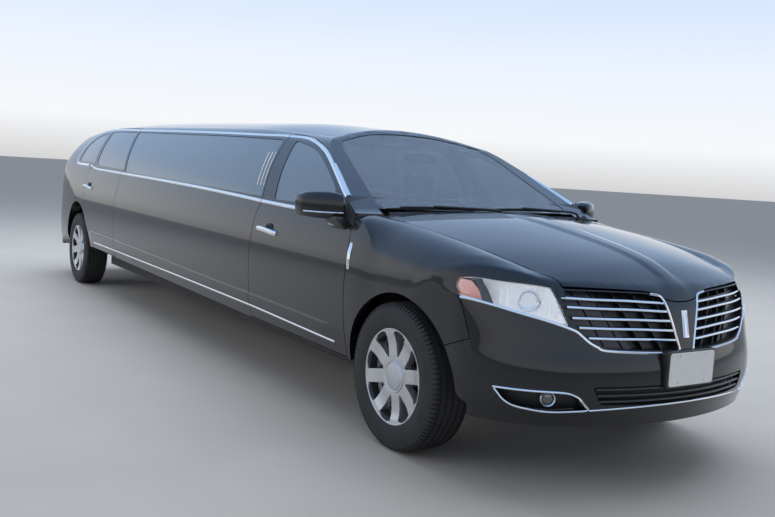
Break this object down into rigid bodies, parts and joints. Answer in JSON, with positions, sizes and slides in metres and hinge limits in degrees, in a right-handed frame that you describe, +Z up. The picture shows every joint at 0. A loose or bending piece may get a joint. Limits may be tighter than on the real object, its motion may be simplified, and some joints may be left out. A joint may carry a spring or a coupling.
{
  "type": "stretch limousine",
  "caption": "Long-wheelbase limousine body on road wheels with hinged side doors, bonnet, tailgate, steered front wheels and a lounge cabin behind the driver.",
  "frame": {"origin": "middle of the bounding box, on the ground under the tyres", "axes": "+X forward, +Y to the car's left, +Z up"},
  "size_m": [8.321, 2.216, 1.7323],
  "materials": {
    "body_paint": "gloss black paint",
    "tinted_glass": "dark tinted glass",
    "clear_glass": "lightly tinted windscreen",
    "lamp_lens": "clear lens over bright reflectors",
    "chrome": "polished bright metal",
    "wheel_alloy": "machined and lacquered",
    "tyre_rubber": "matt rubber",
    "chassis_black": "satin black underbody coating",
    "cast_metal": "as cast",
    "exhaust_steel": "dull stainless steel",
    "engine_metal": "as cast",
    "tail_lens": "red lens over a bright reflector",
    "tank_plastic": "moulded",
    "seat_leather": "black grained leather",
    "dash_plastic": "grained soft moulding",
    "trim_black": "black moulded plastic"
  },
  "bodies": {
    "root": {"roof_panel": "body_paint", "windscreen": "clear_glass", "firewall": "chassis_black", "side_glass": "tinted_glass", "body_side_right": "body_paint", "body_side_left": "body_paint", "fender_right": "body_paint", "fender_left": "body_paint", "front_bumper": "body_paint", "rear_bumper": "body_paint", "headlamps": "lamp_lens", "fog_lamps": "lamp_lens", "grille": "chrome", "front_suspension": "cast_metal", "rear_suspension": "cast_metal", "floor_pan": "chassis_black", "rear_floor": "chassis_black", "tail_lamps": "tail_lens", "front_frame": "chassis_black", "exhaust": "exhaust_steel", "drivetrain": "cast_metal", "fuel_tank": "tank_plastic", "engine_block": "engine_metal", "front_seats": "seat_leather", "lounge_seat": "seat_leather", "dashboard": "dash_plastic", "steering_wheel": "dash_plastic", "wipers": "trim_black", "number_plate": "trim_black"},
    "front_door_right": {"door_front_right": "body_paint", "door_glass_front_right": "tinted_glass", "mirror_right": "trim_black"},
    "rear_door_right": {"door_rear_right": "body_paint", "door_glass_rear_right": "tinted_glass"},
    "steering_right": {"knuckle_right": "cast_metal"},
    "wheel_front_right": {"tyre_front_right": "tyre_rubber", "rim_front_right": "wheel_alloy"},
    "wheel_rear_right": {"tyre_rear_right": "tyre_rubber", "rim_rear_right": "wheel_alloy"},
    "front_door_left": {"door_front_left": "body_paint", "door_glass_front_left": "tinted_glass", "mirror_left": "trim_black"},
    "rear_door_left": {"door_rear_left": "body_paint", "door_glass_rear_left": "tinted_glass"},
    "steering_left": {"knuckle_left": "cast_metal"},
    "wheel_front_left": {"tyre_front_left": "tyre_rubber", "rim_front_left": "wheel_alloy"},
    "wheel_rear_left": {"tyre_rear_left": "tyre_rubber", "rim_rear_left": "wheel_alloy"},
    "bonnet": {"hood": "body_paint"},
    "tailgate": {"tailgate": "body_paint", "tailgate_glass": "tinted_glass", "tailgate_lamp": "tail_lens"}
  },
  "joints": [
    {"name": "front_door_right_hinge", "type": "hinge", "parent": "root", "child": "front_door_right", "pos_m": [2.6625, -0.967, 0.75], "axis": [0, 0, 1], "range_deg": [0, 65]},
    {"name": "rear_door_right_hinge", "type": "hinge", "parent": "root", "child": "rear_door_right", "pos_m": [-1.5795, -0.967, 0.8], "axis": [0, 0, 1], "range_deg": [0, 65]},
    {"name": "steer_right", "type": "hinge", "parent": "root", "child": "steering_right", "pos_m": [3.1205, -0.775, 0.262], "axis": [0, 0.2944, 0.9557], "range_deg": [-32, 32]},
    {"name": "wheel_front_right_spin", "type": "hinge", "parent": "steering_right", "child": "wheel_front_right", "pos_m": [3.1205, -0.83, 0.3696], "axis": [0, 1, 0], "continuous": true},
    {"name": "wheel_rear_right_spin", "type": "hinge", "parent": "root", "child": "wheel_rear_right", "pos_m": [-2.9225, -0.83, 0.3696], "axis": [0, 1, 0], "continuous": true},
    {"name": "front_door_left_hinge", "type": "hinge", "parent": "root", "child": "front_door_left", "pos_m": [2.6625, 0.967, 0.75], "axis": [0, 0, -1], "range_deg": [0, 65]},
    {"name": "rear_door_left_hinge", "type": "hinge", "parent": "root", "child": "rear_door_left", "pos_m": [-1.5795, 0.967, 0.8], "axis": [0, 0, -1], "range_deg": [0, 65]},
    {"name": "steer_left", "type": "hinge", "parent": "root", "child": "steering_left", "pos_m": [3.1205, 0.775, 0.262], "axis": [0, -0.2944, 0.9557], "range_deg": [-32, 32]},
    {"name": "wheel_front_left_spin", "type": "hinge", "parent": "steering_left", "child": "wheel_front_left", "pos_m": [3.1205, 0.83, 0.3696], "axis": [0, 1, 0], "continuous": true},
    {"name": "wheel_rear_left_spin", "type": "hinge", "parent": "root", "child": "wheel_rear_left", "pos_m": [-2.9225, 0.83, 0.3696], "axis": [0, 1, 0], "continuous": true},
    {"name": "bonnet_hinge", "type": "hinge", "parent": "root", "child": "bonnet", "pos_m": [2.6745, 0, 1.15], "axis": [0, -1, 0], "range_deg": [0, 50]},
    {"name": "tailgate_hinge", "type": "hinge", "parent": "root", "child": "tailgate", "pos_m": [-3.6795, 0, 1.652], "axis": [0, 1, 0], "range_deg": [0, 75]}
  ],
  "couplings": [
    {"joint": "steer_right", "follows": "steer_left", "ratio": 1}
  ]
}
